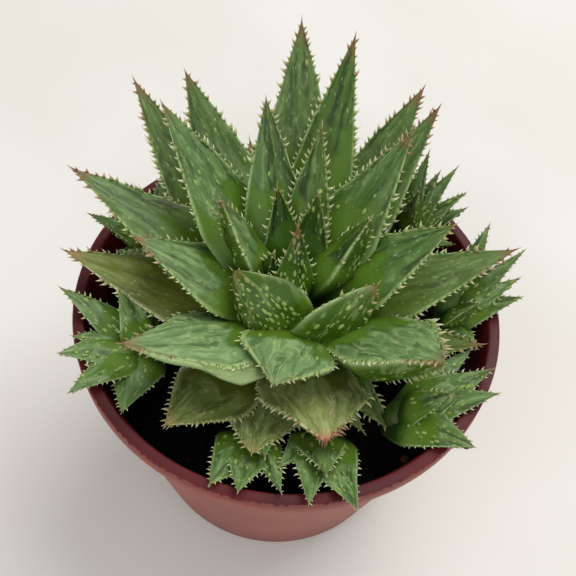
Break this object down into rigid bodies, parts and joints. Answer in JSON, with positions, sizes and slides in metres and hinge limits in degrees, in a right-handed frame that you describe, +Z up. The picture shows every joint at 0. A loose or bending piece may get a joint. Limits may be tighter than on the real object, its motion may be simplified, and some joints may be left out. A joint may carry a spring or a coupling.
{
  "type": "potted haworthia",
  "caption": "Clump of keeled succulent leaves with toothed margins on a short stem, with young plants round its foot, growing in soil in a tapered round plastic pot.",
  "frame": {"origin": "centre of the pot foot, on the plane that the pot stands on", "axes": "+Z up along the pot axis. -Y is the front, which the picture looks at from above."},
  "size_m": [0.1062, 0.11, 0.108],
  "materials": {
    "leaf": "waxy, half gloss, with raised pale dots",
    "old_leaf": "waxy, half gloss, olive with brown tips",
    "young_leaf": "waxy, half gloss, with raised pale dots",
    "soil": "loose moist potting soil, rough",
    "pot": "moulded, satin"
  },
  "bodies": {
    "root": {"stem_and_heart": "leaf", "leaf_01": "leaf", "leaf_02": "leaf", "leaf_03": "leaf", "leaf_04": "leaf", "leaf_05": "leaf", "leaf_06": "leaf", "leaf_07": "leaf", "leaf_08": "leaf", "leaf_09": "leaf", "leaf_10": "leaf", "leaf_11": "leaf", "leaf_12": "leaf", "leaf_13": "leaf", "leaf_14": "leaf", "leaf_15": "leaf", "leaf_16": "leaf", "leaf_17": "leaf", "leaf_18": "leaf", "leaf_19": "leaf", "leaf_20": "leaf", "leaf_21": "leaf", "leaf_22": "old_leaf", "leaf_23": "leaf", "leaf_24": "old_leaf", "leaf_25": "old_leaf", "leaf_26": "old_leaf", "leaf_27": "leaf", "leaf_28": "leaf", "leaf_29": "old_leaf", "leaf_30": "old_leaf", "pup_left": "young_leaf", "pup_back_left": "young_leaf", "pup_back_right": "young_leaf", "pup_right": "young_leaf", "pup_front_right": "young_leaf", "pup_front_left": "young_leaf", "pup_front": "young_leaf", "soil": "soil", "pot": "pot"}
  },
  "joints": []
}
